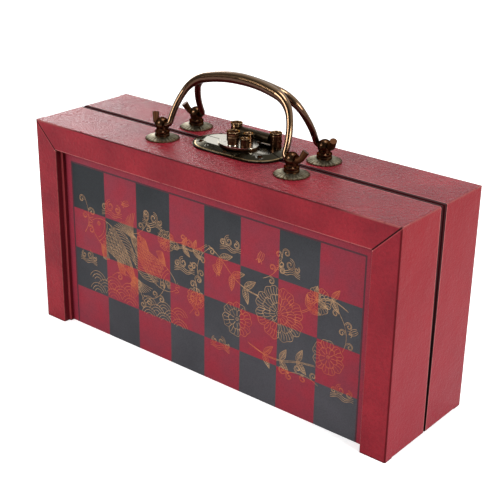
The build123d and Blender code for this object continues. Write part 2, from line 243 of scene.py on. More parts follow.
def addFloor():
    shape = bmesh.new()
    bmesh.ops.create_grid(shape, x_segments=1, y_segments=1, size=floorSheet["halfWidth"])
    data = bpy.data.meshes.new("floor")
    shape.to_mesh(data)
    shape.free()
    floor = bpy.data.objects.new("floor", data)
    bpy.context.scene.collection.objects.link(floor)
    paper = Finish("paper", Base_Color=floorSheet["grey"], Roughness=1.0)
    toCamera = paper.wire.node("LightPath", None, None, "Is Camera Ray")
    paper.paint("Base Color", toCamera.mix(floorSheet["grey"], white))
    paper.paint("Emission Color", toCamera.mix(black, white))
    paper.shader.inputs["Emission Strength"].default_value = floorSheet["glow"]
    data.materials.append(paper.material)


print("camera and studio")
addCamera()
addLamps()
addRoom()
addFloor()


# Red leatherette over wood, glossy, with a fine pebble, worn arrises and a dark seam that
# opens a little towards the top. Painted light: sides lighter towards the foot, painted shade on the stiles'
# inner sides and the bottom strip, pale painted highlights along the bead, top arrises, inner edges, mitres
# and seam's lips
leather = {
    "red": rgb(149, 36, 47),
    "deep": rgb(122, 27, 39),
    "dark": rgb(82, 14, 24),
    "bare": rgb(78, 2, 10),
    # sideTop and sideFoot: painted light on the sides, deep red at the top and lighter towards the foot
    "sideTop": rgb(138, 3, 18),
    "sideFoot": rgb(148, 44, 56),
    # worn: a pale pink painted as highlights on the bead, the top arrises, the frame's inner edges, the
    # mitres and the seam's lips
    "worn": rgb(214, 122, 118),
    # recess: painted shade for the stiles' inner sides in the recess
    "recess": rgb(70, 14, 20),
    "seam": rgb(64, 18, 22),
    "groove": rgb(24, 7, 9),
}
seam = {"foot": 1.2, "spread": 2.0, "line": 0.85, "deep": 3.2}
leatherGrain = {"tone": 38, "pebble": 0.9, "grain": 2.4, "patches": 6, "waves": 46}
gloss = {"rough": 0.2, "worn": 0.6, "smoothTop": 0.14}
edgeMarks = {"arris": 1.2, "sideArris": 0.9, "corner": 1.3, "mitre": 0.9, "sheenFrom": 112, "sheenTo": 135}


def leatherette():
    finish = Finish("leatherette", Specular_IOR_Level=0.12)
    x, y, z = abs(finish.x), abs(finish.y), finish.z
    tone = finish.place.noise(leatherGrain["tone"], 3)
    colour = tone.contrast(0.3, 0.7).mix(leather["deep"], leather["red"])
    pebble = finish.place.noise(leatherGrain["pebble"], 3, 0.65)
    grain = finish.place.noise(leatherGrain["grain"], 3, 0.6)
    onTop = z > case["height"] - 0.3
    specks = ((pebble - 0.5) * 0.9 + (grain - 0.5) * 0.7) * (onTop + 1) + 0.12
    colour = specks.clamped().mix(colour, leather["dark"])
    # Painted light: the sides are painted lighter and paler towards the foot and deep red towards the top
    onSide = x > case["halfWidth"] - 0.5
    gradient = (z / case["height"]).mix(leather["sideFoot"], leather["sideTop"])
    colour = (onSide * 0.7).mix(colour, gradient)
    patchy = finish.place.noise(leatherGrain["patches"], 4, 0.7)
    face = y.near(case["depth"], 0.9)
    inner = case["height"] - case["frameWidth"]
    side = case["halfWidth"] - case["frameWidth"]
    stileSide = (x < side + 0.3) * (x > side - 2.3) * (z < inner) * (y < case["depth"] - 0.3)
    bead = y.near(case["depth"] - 5.0, 0.4).contrast(0, 0.3) * (x < side) * (z < inner)
    # Painted shade: the stiles' inner sides in the recess are darkened with the recess colour
    stileShade = stileSide * (y > case["depth"] - case["frameDepth"] - 0.5) * (1 - bead)
    colour = (stileShade * 0.9).mix(colour, leather["recess"])
    # Painted highlight: the bead is lightened with the worn colour
    colour = (bead * 0.16).mix(colour, leather["worn"])
    corner = y.near(case["depth"], edgeMarks["corner"]) * x.near(case["halfWidth"], edgeMarks["corner"])
    arris = y.near(case["depth"], edgeMarks["arris"]).most(x.near(case["halfWidth"], edgeMarks["sideArris"]))
    topEdge = z.near(case["height"], edgeMarks["arris"]) * arris
    colour = (corner * 1.7).clamped().mix(colour, leather["bare"])
    colour = (topEdge * 1.5).clamped().mix(colour, leather["seam"])
    # Painted highlight: a pale line, broken in patches, along the top arrises near both ends, in the worn
    # colour
    paintedSheen = topEdge * patchy.contrast(0.25, 0.45) * x.contrast(edgeMarks["sheenFrom"], edgeMarks["sheenTo"])
    colour = (paintedSheen * 0.65).mix(colour, leather["worn"])
    # Painted highlight: a pale line, broken in patches, along the frame's inner edges on the face, in the
    # worn colour
    lipSheen = face * (z.near(inner, 1.0) * (x < side + 1)).most(x.near(side, 0.8) * (z < inner + 1) * 0.35)
    colour = (lipSheen * patchy.contrast(0.3, 0.5) * 1.3).clamped().mix(colour, leather["worn"])
    onFrame = (y > case["depth"] - case["frameDepth"]) * (x < case["halfWidth"] - 0.4)
    offMitre = x - z - (case["halfWidth"] - case["height"])
    mitre = (offMitre.near(0, edgeMarks["mitre"]) * onFrame).contrast(0, 0.6)
    colour = mitre.mix(colour, leather["groove"])
    # Painted highlight: a pale line beside each dark mitre, in the worn colour
    mitreSheen = offMitre.near(1.1, 0.5) * (y > case["depth"] - 2)
    colour = (mitreSheen * 0.25).mix(colour, leather["worn"])
    gape = z * (seam["spread"] / case["height"]) + seam["foot"]
    outside = (x > case["halfWidth"] - seam["deep"]).most(z > case["height"] - seam["deep"]).most(z < 1)
    # Painted highlight: pale lines, broken in patches, on the lips beside the seam, in the worn colour
    seamSheen = (y - gape).near(0.55, 0.5) * patchy.contrast(0.25, 0.5)
    colour = (seamSheen * outside * 0.75).mix(colour, leather["worn"])
    opened = (y < gape) * outside
    colour = opened.mix(colour, leather["seam"])
    lines = ((y - gape).near(-0.35, seam["line"]).most(y < 0.5) * 2).clamped()
    colour = (lines * outside).mix(colour, leather["groove"])
    # Painted shade: the bottom 0.8 mm is darkened where the case stands on the floor
    colour = ((z < 0.8) * 0.7).mix(colour, leather["dark"])
    finish.paint("Base Color", colour)
    dull = opened.most(topEdge).most(corner).most(mitre) * gloss["worn"]
    rough = pebble * 0.16 + gloss["rough"] + (1 - patchy) * 0.05 + dull
    finish.paint("Roughness", rough - onTop * gloss["smoothTop"])
    canvas = (pebble * 0.13 + grain * 0.3) * (onTop * 2.2 + 1)
    finish.bump(canvas + finish.place.noise(leatherGrain["waves"], 2) * 1.5, 1.0, 1.0)
    return finish.material


# One half of the board. Seen from outside, the top left square is dark on both trays.
printed = {
    "dark": rgb(46, 49, 52),
    "paler": rgb(77, 76, 81),
    "red": rgb(133, 50, 64),
    "margin": rgb(146, 44, 58),
    "line": rgb(52, 46, 52),
    "speck": rgb(20, 10, 12),
}
printGrain = {"blotch": 14, "paling": 22, "grain": 0.7, "waves": 40}


def boardPrint(name, dark):
    finish = Finish(name, Roughness=0.3, Specular_IOR_Level=0.1)
    x, z = finish.x, finish.z
    column = (x / board["square"]).floored().most(-4).least(3)
    row = (z / board["square"]).floored().least(3)
    odd = (column + row) % 2
    isDark = odd if dark else 1 - odd
    across, up = board["edgeX"], board["edgeZ"]
    inside = (abs(x) < across) * (z < up)
    blotch = finish.place.noise(printGrain["blotch"], 3)
    red = blotch.contrast(0.3, 0.7).mix(printed["red"], printed["margin"])
    slant = 0.4 if dark else -0.4
    # The dark squares turn paler towards the bottom and towards one side, with a noise
    gradient = x * slant / across - z / up + finish.place.noise(printGrain["paling"], 3)
    dusky = gradient.contrast(-0.7, 0.9).mix(printed["dark"], printed["paler"])
    colour = (isDark * inside).mix(red, dusky)
    ring = (abs(x) < across + board["line"]) * (z < up + board["line"]) * (1 - inside)
    colour = (ring * 0.8).mix(colour, printed["line"])
    grain = finish.place.noise(printGrain["grain"], 2, 0.6)
    colour = ((grain - 0.5) * 0.8 + 0.08).clamped().mix(colour, printed["speck"])
    finish.paint("Base Color", colour)
    finish.paint("Roughness", blotch * 0.15 + 0.25)
    finish.bump(grain * 0.02 + finish.place.noise(printGrain["waves"], 2) * 0.6, 1.0, 1.0)
    return finish.material


# Antique bronze: red brown in the hollows; olive gold is painted on the bails' upper sides as a painted
# reflection
bronze = {
    "dark": rgb(66, 42, 28),
    "brown": rgb(86, 63, 45),
    "olive": rgb(126, 98, 69),
    "rim": rgb(148, 121, 91),
    "edge": (0.22, 0.14, 0.08, 1),
}


def antiqueBronze(name, dark, light, rough, rims=()):
    finish = Finish(name, Metallic=1.0, Specular_Tint=bronze["edge"])
    cloud = finish.place.noise(3.2, 3, 0.6)
    speck = finish.place.noise(0.5, 2, 0.6)
    colour = cloud.contrast(0.3, 0.7).mix(dark, light)
    colour = (speck.contrast(0.6, 0.8) * 0.5).mix(colour, dark)
    for height in rims:
        worn = finish.z.near(height, 0.7).contrast(0.2, 0.8) * cloud.contrast(0.3, 0.5)
        colour = worn.mix(colour, bronze["rim"])
    finish.paint("Base Color", colour)
    finish.paint("Roughness", (1 - cloud) * 0.14 + speck * 0.08 + (rough - 0.1))
    finish.bump(speck * 0.4 + cloud, 0.12, 0.05)
    return finish.material


# Two noises of the polished metals: clouds of tarnish and fine specks
def tarnish(finish, clouds=3, specks=0.7):
    return finish.place.noise(clouds, 4, 0.65), finish.place.noise(specks, 3, 0.65)


# Lock plate: polished plateau, dark at its right end, dark bevel, stamped marks and a rubbed rim
plateTone = {
    "polished": rgb(236, 232, 222),
    "dark": rgb(46, 42, 32),
    "bevel": rgb(46, 42, 31),
    "rim": rgb(150, 126, 90),
    "edge": (0.82, 0.8, 0.75, 1),
}
darkEnd = {"from": 12, "to": 17}
# Middle and reach of a patch that stays polished, and of the stamped marks
rubbedPatch = (22, -0.5, 9, 7)
marks = [
    (24.5, -10.5, 4.5, 2.6),
    (-33.5, 3.5, 3.4, 5.0),
    (-17.5, -14.8, 2.2, 1.6),
    (-25.5, 12.5, 4.0, 1.6),
]


def lockPlateFinish():
    finish = Finish("lockPlate", Metallic=1.0, Specular_Tint=plateTone["edge"])
    x, y = finish.x - lock["plateX"], finish.y
    beyond = (abs(x) - lock["core"]).most(0)
    reach = (beyond * beyond + y * y).root()
    cloud, fine = tarnish(finish, 4.5, 0.8)
    scroll = finish.place.noise(2.0, 1, 0.5)
    patchX, patchY, wide, high = rubbedPatch
    patch = (x.near(patchX, wide) * y.near(patchY, high) * 2.6).clamped() * cloud.contrast(0.34, 0.42)
    tarnished = (x + cloud * 6).contrast(darkEnd["from"], darkEnd["to"]) * (1 - patch)
    colour = tarnished.mix(plateTone["polished"], plateTone["dark"])
    bevel = (reach + (cloud - 0.5) * 2.4).contrast(lock["plateau"] - 0.4, lock["plateau"] + 0.3)
    colour = bevel.mix(colour, plateTone["bevel"])
    for markX, markY, wide, high in marks:
        place = ((x - markX).near(0, wide) * (y - markY).near(0, high) * 3).clamped()
        colour = (place * scroll.near(0.5, 0.05).contrast(0.2, 0.8) * 0.8).mix(colour, plateTone["polished"])
    rim = (reach + (cloud - 0.5)).near(lock["bevel"] - 0.2, 0.8).contrast(0.1, 0.6)
    colour = rim.mix(colour, plateTone["rim"])
    colour = (fine.contrast(0.62, 0.75) * 0.35).mix(colour, plateTone["dark"])
    finish.paint("Base Color", colour)
    finish.paint("Roughness", fine * 0.1 + 0.08 + bevel * 0.12)
    finish.bump(fine + cloud, 0.08, 0.05)
    return finish.material


# The hasp's leaf is polished on top; its barrel and its edge are painted dark as painted shade
def haspFinish():
    finish = Finish("hasp", Metallic=1.0, Specular_Tint=plateTone["edge"])
    cloud, fine = tarnish(finish)
    barrel = finish.y > lock["barrelY"]
    leaf = finish.z.near(case["height"] + lock["leafTop"], 0.4).contrast(0, 0.2) * (1 - barrel)
    colour = cloud.contrast(0.36, 0.66).mix(bronze["dark"], bronze["brown"])
    colour = (leaf * cloud.contrast(0.3, 0.42)).mix(colour, plateTone["polished"])
    # Dark tarnish specks, and painted shade on all but the top of the leaf
    specksAndShade = fine.contrast(0.6, 0.78) * 0.5 + (1 - leaf) * 0.6
    colour = specksAndShade.clamped().mix(colour, bronze["dark"])
    # Painted shade: the barrel is painted dark
    colour = (barrel * 0.8).mix(colour, plateTone["dark"])
    finish.paint("Base Color", colour)
    finish.paint("Roughness", fine * 0.16 + (1 - leaf) * 0.22 + 0.12)
    finish.bump(fine + cloud, 0.1, 0.05)
    return finish.material


# Fluted rosettes: silvery on top where rubbed, olive brown in the flutes, dark at the rim
def rosetteFinish():
    finish = Finish("rosette", Metallic=1.0, Specular_Tint=plateTone["edge"])
    cloud, fine = tarnish(finish)
    colour = cloud.contrast(0.35, 0.65).mix(rgb(76, 66, 47), rgb(128, 122, 103))
    colour = (fine.contrast(0.52, 0.75) * 0.7).mix(colour, bronze["dark"])
    rim = 1 - finish.z.contrast(case["height"] + 0.7, case["height"] + 1.3)
    colour = (rim * 0.85).mix(colour, bronze["dark"])
    finish.paint("Base Color", colour)
    finish.paint("Roughness", fine * 0.25 + rim * 0.15 + 0.2)
    finish.bump(fine + cloud, 0.2, 0.06)
    return finish.material


# Bails, painted by the way each surface faces: olive gold above as a painted reflection of the bright room,
# red brown below as painted shade; the tails stay red brown
def bailFinish():
    finish = Finish("bailBronze", Metallic=1.0, Coat_Roughness=0.12)
    outwards = finish.wire.node("TexCoord", None, None, "Normal")
    upwards = finish.wire.node("SeparateXYZ", None, {0: outwards}, "Z")
    cloud = finish.place.noise(9, 3, 0.6)
    speck = finish.place.noise(0.6, 2, 0.6)
    # Painted reflection above and painted shade below: olive gold where the surface faces up, red brown where
    # it faces down
    paintedSheen = (upwards + (cloud - 0.5) * 0.5).contrast(0.05, 0.6)
    tail = abs(finish.x - handle["middle"]) > handle["postX"] + 2
    paintedSheen = paintedSheen * (1 - tail)
    colour = paintedSheen.mix(rgb(82, 52, 34), bronze["olive"])
    colour = (speck.contrast(0.58, 0.8) * 0.5).mix(colour, bronze["dark"])
    finish.paint("Base Color", colour)
    finish.paint("Roughness", speck * 0.1 + tail * 0.36 + 0.14)
    finish.paint("Coat Weight", (1 - tail) * 0.45)
    finish.bump(speck * 0.3 + cloud, 0.1, 0.04)
    return finish.material


def nickelSteel():
    finish = Finish("steel", Metallic=1.0, Base_Color=rgb(190, 190, 192))
    brushed = finish.place.noise(0.6, 3)
    finish.paint("Roughness", brushed * 0.3 + 0.2)
    finish.bump(brushed, 0.1, 0.03)
    return finish.material


def turnedWood(name, dark, light):
    finish = Finish(name, Roughness=0.35, Coat_Weight=0.3)
    fine = finish.wire.node("Mapping", None, {"Vector": finish.place, "Scale": (1.0, 1.0, 0.12)})
    streak = fine.noise(1.1, 4, 0.6)
    colour = streak.contrast(0.35, 0.65).mix(dark, light)
    finish.paint("Base Color", colour)
    finish.paint("Roughness", streak * 0.2 + 0.25)
    finish.bump(streak, 0.1, 0.05)
    return finish.material


def flock():
    finish = Finish("flock", Roughness=0.95, Sheen_Weight=0.6, Sheen_Roughness=0.4)
    pile = finish.place.noise(0.5, 3, 0.7)
    nap = finish.place.noise(9, 3)
    colour = (pile * 0.6 + nap * 0.4).contrast(0.3, 0.7).mix(rgb(26, 22, 24), rgb(54, 46, 50))
    finish.paint("Base Color", colour)
    finish.bump(pile, 0.6, 0.2)
    return finish.material


def hingeLeather():
    finish = Finish("hingeLeather", Roughness=0.6)
    pore = finish.place.noise(0.8, 4, 0.7)
    finish.paint("Base Color", pore.contrast(0.3, 0.7).mix(rgb(86, 22, 30), rgb(122, 34, 42)))
    finish.bump(pore, 0.4, 0.15)
    return finish.material


print("finishes")
metal = antiqueBronze("bronze", bronze["dark"], bronze["brown"], 0.27)
bailMetal = bailFinish()
rimHeights = [case["height"] + rise for rise in (11.2, 13.0, 14.8)]
knobMetal = antiqueBronze("knobBronze", bronze["dark"], bronze["brown"], 0.3, rimHeights)
rosetteMetal, haspMetal = rosetteFinish(), haspFinish()
special = {
    "rear_lock_plate": lockPlateFinish(),
    "rear_bail": bailMetal,
    "front_bail": bailMetal,
    "hasp_plate": haspMetal,
}
special["front_lock_plate"] = special["rear_lock_plate"]
slotFinish = {
    "leatherette": leatherette(),
    "hinge_leather": hingeLeather(),
    "insert": flock(),
    "bronze": metal,
    "steel": nickelSteel(),
    "dark_wood": turnedWood("darkWood", rgb(50, 32, 24), rgb(88, 58, 42)),
    "red_wood": turnedWood("redWood", rgb(120, 44, 34), rgb(160, 66, 48)),
}
boards = {"front": boardPrint("frontPrint", True), "rear": boardPrint("rearPrint", False)}
for part in frame["record"]["subparts"]:
    name = part["node"]
    finish = slotFinish.get(part["material_slot"]) or boards[name.split("_")[0]]
    finish = special.get(name, finish)
    data = nodes[name].data
    data.materials.clear()
    data.materials.append(finish)


def addPiece(name, shape, finish, body, replaced=()):
    bmesh.ops.scale(shape, vec=(mm, mm, mm), verts=shape.verts)
    data = bpy.data.meshes.new(name)
    shape.to_mesh(data)
    shape.free()
    for face in data.polygons:
        face.use_smooth = True
    data.materials.append(finish)
    piece = bpy.data.objects.new(name, data)
    bpy.context.scene.collection.objects.link(piece)
    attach(piece, body)
    if replaced:
        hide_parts(*replaced)
    return piece


# A profile of radius and height, turned about the upright axis; a closed one makes a ring
def turned(profile, steps, closed=False):
    shape = bmesh.new()
    ring = [shape.verts.new((r, 0, z)) for r, z in profile]
    ends = ring[1:] + ring[:1] if closed else ring[1:]
    outline = ring + [shape.edges.new(pair) for pair in zip(ring, ends)]
    axis, middle = (0, 0, 1), (0, 0, 0)
    bmesh.ops.spin(shape, geom=outline, axis=axis, cent=middle, steps=steps, angle=2 * pi, use_merge=True)
    bmesh.ops.remove_doubles(shape, verts=shape.verts, dist=1e-4)
    return shape


# Fluted rosettes under the handle posts
rosette = {
    "radius": 12.3,
    "hole": 2.1,
    "flat": 6.6,
    "top": 2.4,
    "flutes": 24,
    "fluteDepth": 0.45,
    "scallop": 0.8,
    "stepsPerFlute": 8,
}


def rosetteShape(x, y):
    rim = rosette["radius"]
    profile = [
        (rosette["hole"], 0),
        (rim - 0.5, 0),
        (rim, 0.35),
        (rim - 0.2, 0.8),
        (rim - 1.2, 1.15),
        (9.8, 1.5),
        (8.0, 1.95),
        (6.7, 2.25),
        (6.0, rosette["top"]),
        (rosette["hole"], rosette["top"]),
    ]
    shape = turned(profile, rosette["flutes"] * rosette["stepsPerFlute"], closed=True)
    for vert in shape.verts:
        r = hypot(vert.co.x, vert.co.y)
        wave = cos(rosette["flutes"] * atan2(vert.co.y, vert.co.x))
        outwards = min(max((r - rosette["flat"]) / (rim - rosette["flat"]), 0), 1)
        if vert.co.z > 0.1:
            vert.co.z += rosette["fluteDepth"] * (wave - 1) / 2 * outwards**0.6
        stretch = 1 + rosette["scallop"] * (wave - 1) / 2 / rim * (r > rim - 1)
        vert.co.x *= stretch
        vert.co.y *= stretch
    bmesh.ops.recalc_face_normals(shape, faces=shape.faces)
    bmesh.ops.translate(shape, vec=(x, y, case["height"]), verts=shape.verts)
    return shape


def joined(shapes):
    whole = bmesh.new()
    for shape in shapes:
        spare = bpy.data.meshes.new("spare")
        shape.to_mesh(spare)
        shape.free()
        whole.from_mesh(spare)
        bpy.data.meshes.remove(spare)
    return whole


print("rosettes")
for tray, y in (("rear", handle["postY"]), ("front", -handle["postY"])):
    places = [handle["middle"] + side * handle["postX"] for side in (-1, 1)]
    shape = joined([rosetteShape(x, y) for x in places])
    replaced = [f"{tray}_handle_rosettes"]
    addPiece(f"{tray}RosettesFluted", shape, rosetteMetal, f"{tray}_tray", replaced)


# Turned posts, studs and peg with a rolled rim and a dished top; radius and height in a profile
turnedMetal = {"steps": 24, "rim": 0.5, "dish": 1.3, "waist": 0.93, "bead": 0.12}


def spun(profile, x, y, steps=turnedMetal["steps"]):
    shape = turned(profile, steps)
    bmesh.ops.recalc_face_normals(shape, faces=shape.faces)
    bmesh.ops.translate(shape, vec=(x, y, case["height"]), verts=shape.verts)
    return shape


# A fine bead around the waist of a knob
def beaded(radius, foot):
    waist = turnedMetal["waist"] * radius
    return [(waist, foot), (waist + turnedMetal["bead"], foot + 0.3), (waist, foot + 0.6)]


# Upper part of a knob, from its waist to the middle of its dish
def rolledTop(radius, top):
    rim, dish = turnedMetal["rim"], turnedMetal["dish"]
    waist = turnedMetal["waist"] * radius
    turns = (-0.6, 0, 0.6, 1.1, 1.57, 2.1, 2.7)
    roll = [(radius - rim + rim * cos(a), top - rim + rim * sin(a)) for a in turns]
    below = [(waist, top - 4 * rim), (waist + 0.05, top - 2.8 * rim), (radius - 0.1, top - 2.1 * rim)]
    inside = [(radius - 2.3 * rim, top - 0.7 * dish), (0.6 * radius, top - dish), (0, top - dish)]
    return below + roll + inside


def knob(radius, foot, top, x, y):
    return spun([(0, foot)] + beaded(radius, foot) + rolledTop(radius, top), x, y)


def smoothed(piece, levels=1):
    softer = piece.modifiers.new("softer", "SUBSURF")
    softer.levels = softer.render_levels = levels


haspPost = {"radius": 4.35, "foot": 1.2, "top": 13.2, "y": 14.0, "places": (-16.8, 18.4)}
stud = {"radius": 3.4, "foot": 5.4, "top": 11.4, "places": ((2.0, 4.4), (7.4, -6.2))}
peg = {
    "radius": 4.8,
    "place": (-1.5, -8.0),
    "foot": 8.48,
    "top": 15.0,
    "pin": 1.5,
    "pinFoot": 3.6,
    "bell": 4.1,
    "bellTop": 11.68,
    "steps": 32,
}

print("turned posts, studs and peg")
postSize = (haspPost["radius"], haspPost["foot"], haspPost["top"])
posts = joined([knob(*postSize, x, haspPost["y"]) for x in haspPost["places"]])
smoothed(addPiece("haspPostsTurned", posts, knobMetal, "rear_tray", ["hasp_posts"]))
studs = joined([knob(stud["radius"], stud["foot"], stud["top"], x, y) for x, y in stud["places"]])
smoothed(addPiece("haspStudsTurned", studs, knobMetal, "hasp", ["hasp_studs"]))
pegUnderside = [
    (0, peg["pinFoot"]),
    (peg["pin"] - 0.3, peg["pinFoot"]),
    (peg["pin"], peg["pinFoot"] + 0.3),
    (peg["pin"], peg["bellTop"]),
    (peg["bell"], peg["bellTop"]),
    (peg["bell"], peg["foot"]),
]
pegProfile = pegUnderside + beaded(peg["radius"], peg["foot"]) + rolledTop(peg["radius"], peg["top"])
pegShape = spun(pegProfile, *peg["place"], peg["steps"])
addPiece("lockingPegTurned", pegShape, knobMetal, "locking_peg", ["locking_peg"])


# Turned men in the recesses of the inserts. A profile has shares of the foot's radius and of
# the height; the pawns stand in the upper row, the officers in the lower one
men = {"depth": 21.5, "pitch": 37.5, "middle": 3.5, "officerFoot": 15.0, "pawnFoot": 102.0, "steps": 28}
menSizes = {
    "king": (12.0, 62.0),
    "queen": (11.6, 57.0),
    "bishop": (11.0, 50.0),
    "knight": (11.0, 46.0),
    "rook": (11.0, 40.0),
    "pawn": (10.0, 38.0),
}
columns = {
    "rook": (0, 7),
    "knight": (1, 6),
    "bishop": (2, 5),
    "queen": (3,),
    "king": (4,),
    "pawn": tuple(range(8)),
}
foot = [(0, 0), (0.95, 0), (1, 0.015), (1, 0.05), (0.93, 0.075)]
base = foot + [(0.84, 0.085), (0.88, 0.11), (0.8, 0.14), (0.62, 0.17)]
stem = [(0.48, 0.24), (0.38, 0.36), (0.32, 0.5), (0.31, 0.58)]
collar = [(0.36, 0.6), (0.56, 0.625), (0.6, 0.645), (0.54, 0.665), (0.36, 0.68), (0.44, 0.7), (0.34, 0.72)]
tops = {
    "pawn": [(0.3, 0.6), (0.5, 0.63), (0.52, 0.65), (0.32, 0.68), (0.28, 0.73)],
    "bishop": [(0.44, 0.76), (0.5, 0.81), (0.42, 0.88), (0.22, 0.94), (0.12, 0.955), (0.16, 0.975)],
    "queen": [(0.38, 0.8), (0.5, 0.88), (0.62, 0.93), (0.5, 0.94), (0.3, 0.93), (0.13, 0.95), (0.17, 0.975)],
    "king": [(0.38, 0.78), (0.5, 0.84), (0.56, 0.875), (0.42, 0.895), (0.16, 0.91), (0, 0.91)],
    "rook": [(0.5, 0.26), (0.42, 0.4), (0.4, 0.56), (0.62, 0.61), (0.64, 0.64), (0.5, 0.67), (0.66, 0.72)],
    "knight": [(0.6, 0.2), (0.66, 0.24), (0.6, 0.28), (0, 0.28)],
}
tops["rook"] += [(0.66, 1), (0.46, 1), (0.46, 0.9), (0, 0.9)]
for tall in ("bishop", "queen"):
    tops[tall] += [(0.1, 1), (0, 1)]
for tall in ("bishop", "queen", "king"):
    tops[tall] = stem + collar + tops[tall]


def spunMan(name):
    radius, height = menSizes[name]
    profile = [(r * radius, z * height) for r, z in base + tops[name]]
    if name == "pawn":
        ball = 0.5 * radius
        turns = [radians(a) for a in range(-50, 90, 20)]
        profile += [(ball * cos(a), height - ball + ball * sin(a)) for a in turns]
        profile.append((0, height))
    shape = turned(profile, men["steps"])
    for vert in shape.verts:
        r, turn = hypot(vert.co.x, vert.co.y), atan2(vert.co.y, vert.co.x)
        if name == "rook" and vert.co.z > 0.95 * height and cos(4 * turn) > 0.7:
            vert.co.z = 0.9 * height
        if name == "queen" and r > 0.45 * radius and vert.co.z > 0.9 * height:
            vert.co.z += 0.012 * height * (cos(7 * turn) - 1)
    bmesh.ops.recalc_face_normals(shape, faces=shape.faces)
    return shape


# A slab cut from an outline in x and z, with rounded edges
def slab(outline, thickness, edge):
    shape = bmesh.new()
    face = shape.faces.new([shape.verts.new((x, -thickness / 2, z)) for x, z in outline])
    grown = bmesh.ops.extrude_face_region(shape, geom=[face])["geom"]
    moved = [item for item in grown if isinstance(item, bmesh.types.BMVert)]
    bmesh.ops.translate(shape, vec=(0, thickness, 0), verts=moved)
    bmesh.ops.recalc_face_normals(shape, faces=shape.faces)
    rims = [item for item in shape.edges if len({round(v.co.y, 3) for v in item.verts}) == 1]
    rounding = {"affect": "EDGES", "offset_type": "OFFSET", "segments": 3, "profile": 0.5, "material": -1}
    bmesh.ops.bevel(shape, geom=rims, offset=edge, **rounding)
    return shape


chest = [(-0.5, 0.27), (0.52, 0.27), (0.5, 0.36), (0.42, 0.46), (0.22, 0.57), (0.24, 0.62)]
muzzle = [(0.42, 0.62), (0.62, 0.58), (0.78, 0.61), (0.84, 0.68), (0.74, 0.76), (0.52, 0.85), (0.34, 0.92)]
mane = [(0.2, 0.99), (0.08, 0.94), (-0.18, 0.91), (-0.42, 0.82), (-0.58, 0.68), (-0.64, 0.52), (-0.6, 0.38)]
horse = chest + muzzle + mane
halfCross = [(0.07, 0.9), (0.07, 0.935), (0.22, 0.93), (0.22, 0.965), (0.07, 0.96), (0.08, 1.0)]
cross = halfCross + [(-x, z) for x, z in reversed(halfCross)]


def manShape(name):
    radius, height = menSizes[name]
    if name == "knight":
        head = slab([(x * radius, z * height) for x, z in horse], 0.62 * radius, 0.16 * radius)
        return joined([spunMan(name), head])
    if name == "king":
        top = slab([(x * radius, z * height) for x, z in cross], 0.17 * radius, 0.03 * radius)
        return joined([spunMan(name), top])
    return spunMan(name)


def addMen(colour, tray, side):
    halfTurn = Matrix.Rotation(pi, 3, "Z")
    for name, places in columns.items():
        height = men["pawnFoot"] if name == "pawn" else men["officerFoot"]
        shapes = []
        for place in places:
            shape = manShape(name)
            if side < 0:
                bmesh.ops.rotate(shape, cent=(0, 0, 0), matrix=halfTurn, verts=shape.verts)
            recess = ((place - men["middle"]) * men["pitch"], side * men["depth"], height)
            bmesh.ops.translate(shape, vec=recess, verts=shape.verts)
            shapes.append(shape)
        node = f"{colour}_{name}" if len(places) == 1 else f"{colour}_{name}s"
        wood = f"{colour}_wood"
        label = f"{colour}{name.capitalize()}Turned"
        piece = addPiece(label, joined(shapes), slotFinish[wood], tray, [node])
        for face in piece.data.polygons:
            face.use_smooth = name not in ("rook", "knight") or abs(face.normal.z) < 0.9


print("men")
addMen("dark", "rear_tray", 1)
addMen("red", "front_tray", -1)


# Line print on both boards, of this script's own design: two carp over waves on the left, a
# peony branch on the right, vines and clouds between. x runs from the middle of the board as
# seen from outside, z up from the hinge.
art = {"lineRadius": 0.2, "sunk": 0.35, "smooth": 3}


def smoothLine(points, steps=art["smooth"]):
    held = [points[0]] + list(points) + [points[-1]]
    line = []
    for before, start, end, after in zip(held, held[1:], held[2:], held[3:]):
        for i in range(steps):
            t = i / steps
            weights = (
                -0.5 * t + t * t - 0.5 * t**3,
                1 - 2.5 * t * t + 1.5 * t**3,
                0.5 * t + 2 * t * t - 1.5 * t**3,
                -0.5 * t * t + 0.5 * t**3,
            )
            four = (before, start, end, after)
            line.append(tuple(sum(w * p[axis] for w, p in zip(weights, four)) for axis in (0, 1)))
    return line + [points[-1]]


def arc(x, z, radius, start, end, steps):
    turns = [radians(start + (end - start) * i / steps) for i in range(steps + 1)]
    return [(x + radius * cos(t), z + radius * sin(t)) for t in turns]


def spiral(x, z, radius, start, turns, steps=20):
    points = []
    for i in range(steps + 1):
        t = i / steps
        r = radius * (1 - 0.86 * t)
        a = radians(start) + turns * 2 * pi * t
        points.append((x + r * cos(a), z + r * sin(a)))
    return points


# A vine: a wavy stem with a scroll on each side in turn
def vine(x, z, angle, length, size, bend=0.6):
    strokes, stem = [], []
    count = max(3, int(length / size))
    for i in range(count + 1):
        t = i / count
        a = angle + bend * (t - 0.5)
        sway = 0.35 * size * sin(pi * i)
        stem.append((x + length * t * cos(a) - sway * sin(a), z + length * t * sin(a) + sway * cos(a)))
    strokes.append(smoothLine(stem))
    for i, (px, pz) in enumerate(stem[1:]):
        side = 1 if i % 2 else -1
        a = angle + bend * ((i + 1) / count - 0.5)
        cx, cz = px - side * 0.62 * size * sin(a), pz + side * 0.62 * size * cos(a)
        for shrink in (1, 0.72):
            strokes.append(spiral(cx, cz, 0.6 * size * shrink, (a - side * pi / 2) * 180 / pi, side * 1.25))
    return strokes


